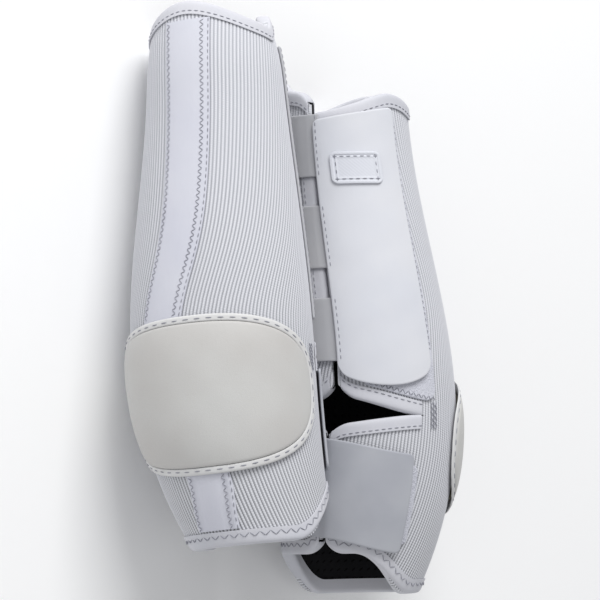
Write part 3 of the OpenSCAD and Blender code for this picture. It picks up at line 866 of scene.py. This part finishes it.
def patches(boot):
    skin, trim = layers["skin"], layers["trim"]
    loops = {
        "phi": (14, 80), "steps": (44, 60), "corner": 8, "layer": (skin, trim),
        "foot": lambda phi: notchMiddle(phi) + notchHalf(phi) + layers["bindingWidth"] + 1,
        "head": lambda phi: topHeight(boot, phi) - layers["bindingWidth"] - 1.5,
    }
    piece = softSheet(f"{boot}LandingPatch", boot, loops, materials["loopPile"])
    finishPiece(piece, f"{boot}_boot", "loop_pile", f"{boot}_landing_patch")
    lowLoops = {
        "phi": (12, 66), "steps": (36, 24), "corner": 4, "layer": (skin, trim),
        "foot": lambda phi: strapMiddle(phi) - 23, "head": lambda phi: strapMiddle(phi) + 22,
    }
    piece = softSheet(f"{boot}StrapPatch", boot, lowLoops, materials["loopPile"])
    finishPiece(piece, f"{boot}_boot", "loop_pile", f"{boot}_strap_patch")
    band = {
        "phi": (-62, -46.6), "steps": (18, 90), "corner": 1, "layer": (skin, skin + 1.6),
        "foot": lambda phi: 122 + 0 * phi, "head": lambda phi: 277 + 0 * phi,
    }
    piece = softSheet(f"{boot}AnchorBand", boot, band, materials["webbing"])
    finishPiece(piece, f"{boot}_boot", "strap_webbing", f"{boot}_anchor_band")


def hingeLine(boot, z, before=-3.0, after=7.0):
    # Two points a little off the boot, either side of the seam at this height
    start = surfacePoint(boot, before, z, 5.0)
    end = surfacePoint(boot, after, z, 6.0)
    return tuple(start.tolist()), tuple(end.tolist())


closureStraps = {"lower": 131.5, "middle": 184.5, "upper": 237}


def closureStrapPieces(boot):
    for place, foot in closureStraps.items():
        spec = {
            "phi": (-46, 8), "steps": (44, 26), "corner": 0.5, "layer": (4.3, 5.5),
            "foot": lambda phi, foot=foot: foot + 0 * phi, "head": lambda phi, foot=foot: foot + 36 + 0 * phi,
        }

        def knitted(phi, z, inward):
            return 0.05 * np.cos(phi * 2.6) - 0.15 * np.exp(-((phi + 44) / 3) ** 2)

        piece = softSheet(f"{boot}{place.capitalize()}Strap", boot, spec, materials["webbing"], knitted)
        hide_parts(f"{boot}_{place}_strap")
        start, end = hingeLine(boot, foot + 18)
        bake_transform(piece)


def panelFoot(phi):
    return 129 - 12 * np.sqrt(np.maximum(0, 1 - ((phi - 39) / 35.7) ** 2))


def closurePieces(boot):
    body = f"{boot}_closure"

    def puckers(phi, z, inward):
        # The straps behind lift the tab a little, and it dips between them
        behind = sum(np.exp(-((z - foot - 18) / 15) ** 4) for foot in closureStraps.values())
        lift = 0.16 * behind * np.exp(-((phi - 6) / 22) ** 2)
        ripple = 0.07 * np.sin(z * 0.16 + phi * 0.05) * np.sin(phi * 0.09)
        ripple = ripple + 0.05 * np.sin(z * 0.31 - phi * 0.11)
        return (lift + ripple) * np.clip(inward / 4, 0, 1)

    tab = {
        "phi": (3.5, 74.5), "steps": (80, 130), "corner": 4, "softEdge": 1.2, "layer": (5.9, 7.4),
        "foot": panelFoot, "head": lambda phi: 269 + 0.1 * phi,
    }
    piece = softSheet(f"{boot}ClosurePanel", boot, tab, materials["closureTab"], puckers)
    finishPiece(piece, body, "closure_tab", f"{boot}_closure_panel")
    hooks = {
        "phi": (10, 70), "steps": (40, 60), "corner": 3, "layer": (4.9, 5.6),
        "foot": lambda phi: panelFoot(phi) + 6, "head": lambda phi: 263 + 0.1 * phi,
    }
    piece = softSheet(f"{boot}HookPatch", boot, hooks, materials["hookTape"])
    finishPiece(piece, body, "hook_tape", f"{boot}_hook_patch")

    def moulded(phi, z, inward):
        rim = -0.45 * ease((inward - 1.5) / 0.5)
        frameLine = 0.28 * np.exp(-((inward - 3.1) / 0.45) ** 2)
        return rim + frameLine

    plate = {
        "phi": (16, 57), "steps": (90, 60), "corner": 4, "softEdge": 0.7, "layer": (7.7, 8.8),
        "foot": lambda phi: 232 + 0 * phi, "head": lambda phi: 250.5 + 0 * phi,
    }
    piece = softSheet(f"{boot}Badge", boot, plate, materials["badge"], moulded)
    finishPiece(piece, body, "badge", f"{boot}_badge")


def fetlockPieces(boot):
    # One piece of webbing from its sewn root, across the seam, to its free end
    def between(root, free):
        return lambda phi: root + (free - root) * ease((phi + 3) / 9)

    strap = {
        "phi": (-64, 60), "steps": (100, 56), "corner": 3, "softEdge": 1.1,
        "layer": (between(4.4, 6.1), between(5.9, 7.7)),
        "foot": lambda phi: strapMiddle(phi) - 28, "head": lambda phi: strapMiddle(phi) + 28,
    }

    def slack(phi, z, inward):
        return 0.08 * np.sin(phi * 0.2 + z * 0.13) * np.clip(inward / 4, 0, 1)

    piece = softSheet(f"{boot}FetlockStrap", boot, strap, materials["fetlockTab"], slack)
    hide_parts(f"{boot}_fetlock_strap", f"{boot}_strap_anchor")
    start, end = hingeLine(boot, 60)
    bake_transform(piece)
    hooks = {
        "phi": (18, 57), "steps": (26, 26), "corner": 2, "layer": (4.9, 5.65),
        "foot": lambda phi: strapMiddle(phi) - 24, "head": lambda phi: strapMiddle(phi) + 24,
    }
    piece = softSheet(f"{boot}StrapHook", boot, hooks, materials["hookTape"])
    finishPiece(piece, f"{boot}_strap", "hook_tape", f"{boot}_strap_hook")


def stitching(boot):
    skin, trim = layers["skin"], layers["trim"]
    onBinding = 4.15
    rows = []
    for low, high in ((9, 37), (127, 290 - pair[boot]["sink"])):
        z = np.linspace(low, high, 90)
        for style, across in (("zigzag", -10.6), ("zigzag", 8.2), ("lock", 11.6)):
            rows.append((style, spinePhi(z) + degreesFor(boot, across, z), z, trim + 0.1))
    phi = np.linspace(5, 355, 300)
    rows.append(("vee", phi, bottomHeight(phi) + 4.2, onBinding))
    rows.append(("lock", phi, topHeight(boot, phi) - 5.0, onBinding))
    for inwards in (1, -1):
        for foot, head in ((134, 260), (52, 76)):
            z = np.linspace(foot, head, 60)
            rows.append(("lock", inwards * (bootShape["seamGap"] + degreesFor(boot, 5.4, z)), z, onBinding))
        phi = inwards * np.linspace(6, 66, 70)
        for up in (1, -1):
            rows.append(("lock", phi, notchMiddle(phi) + up * (notchHalf(phi) + 5.4), onBinding))
        phi = inwards * 78.5 + np.linspace(-2, 2, 5)
        for height in np.linspace(93, 106, 9):
            rows.append(("zigzag", phi, height + 0 * phi, skin + 0.3))
    turn = np.linspace(0, 2 * math.pi, 240)
    phi, z = padPlace(turn, 2.2, 1.0)
    rows.append(("wide", phi, z, 6.02 + 0 * z))
    z = np.linspace(124, 275, 90)
    for phi in (-60.5, -48.2):
        rows.append(("lock", phi + 0 * z, z, skin + 1.65))
    phi = np.linspace(17, 78, 60)
    rows.append(("zigzag", phi, notchMiddle(phi) + notchHalf(phi) + layers["bindingWidth"] + 3, trim + 0.1))
    z = np.linspace(138, 266, 90)
    rows.append(("zigzag", 77.5 + 0 * z, z, trim + 0.1))
    stitches = sewnRows(f"{boot}BootThread", boot, f"{boot}_boot", rows)
    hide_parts(f"{boot}_notch_bartacks")

    rows = []
    for foot in closureStraps.values():
        z = np.linspace(foot + 2, foot + 34, 20)
        rows.append(("lock", 6.2 + 0 * z, z, 7.45))
    corners = ((20.5, 234.8), (52.5, 234.8), (52.5, 247.7), (20.5, 247.7), (20.5, 234.8))
    for (phi0, z0), (phi1, z1) in zip(corners, corners[1:]):
        rows.append(("lock", np.linspace(phi0, phi1, 20), np.linspace(z0, z1, 20), 8.6))
    sewnRows(f"{boot}ClosureThread", boot, f"{boot}_closure", rows)


for boot in pair:
    for side in ("right", "left"):
        ribbedPanel(boot, side)
    innerLining(boot)
    spineTapePiece(boot)
    strikePad(boot)
    padWelt(boot)
    bindings(boot)
    patches(boot)
    closureStrapPieces(boot)
    closurePieces(boot)
    fetlockPieces(boot)
    stitching(boot)
    print(boot, "boot made")


# The floor, the light and the camera

studio = {
    "floorSize": 4.0, "floor": shade(252, 252, 252), "sky": (0.97, 0.98, 1.0, 1), "skyStrength": 0.5,
    "key": {"at": (-0.25, 1.9, 1.5), "size": 1.3, "power": 48},
    "fill": {"at": (-1.5, -0.3, 1.3), "size": 1.4, "power": 3},
    "tilt": 38, "distance": 2.0, "fieldOfView": 0.340, "aimRight": 0.0002, "aimUp": 0.0024,
}


def addFloor():
    half = studio["floorSize"] / 2
    mesh = bpy.data.meshes.new("floor")
    level = cadBox[0][2] - 0.0002
    mesh.from_pydata([(-half, -half, level), (half, -half, level), (half, half, level), (-half, half, level)],
                     [], [(0, 1, 2, 3)])
    material, tree, shader = startMaterial("floor", 0.9, specular=0.1)
    shader.inputs["Base Color"].default_value = studio["floor"]
    mesh.materials.append(material)
    floor = bpy.data.objects.new("floor", mesh)
    bpy.context.collection.objects.link(floor)


def addLight(name):
    lamp = bpy.data.lights.new(name, "AREA")
    lamp.energy = studio[name]["power"]
    lamp.size = studio[name]["size"]
    holder = bpy.data.objects.new(name, lamp)
    holder.location = studio[name]["at"]
    holder.rotation_euler = (-Vector(studio[name]["at"])).to_track_quat("-Z", "Y").to_euler()
    bpy.context.collection.objects.link(holder)


def addCamera():
    tilt = math.radians(studio["tilt"])
    back = Vector((-math.sin(tilt), 0, math.cos(tilt)))
    right, up = Vector((math.cos(tilt), 0, math.sin(tilt))), Vector((0, 1, 0))
    centre = (Vector(cadBox[0]) + Vector(cadBox[1])) / 2
    aim = centre + right * studio["aimRight"] + up * studio["aimUp"]
    lens = bpy.data.cameras.new("camera")
    lens.lens = lens.sensor_width * studio["distance"] / studio["fieldOfView"]
    camera = bpy.data.objects.new("camera", lens)
    camera.matrix_world = Matrix((right, up, back)).transposed().to_4x4()
    camera.location = aim + back * studio["distance"]
    bpy.context.collection.objects.link(camera)
    bpy.context.scene.camera = camera


world = bpy.data.worlds.new("studio")
world.use_nodes = True
world.node_tree.nodes["Background"].inputs["Color"].default_value = studio["sky"]
world.node_tree.nodes["Background"].inputs["Strength"].default_value = studio["skyStrength"]
bpy.context.scene.world = world
bpy.context.scene.view_settings.view_transform = "Standard"
addFloor()
addLight("key")
addLight("fill")
addCamera()
print("studio made")
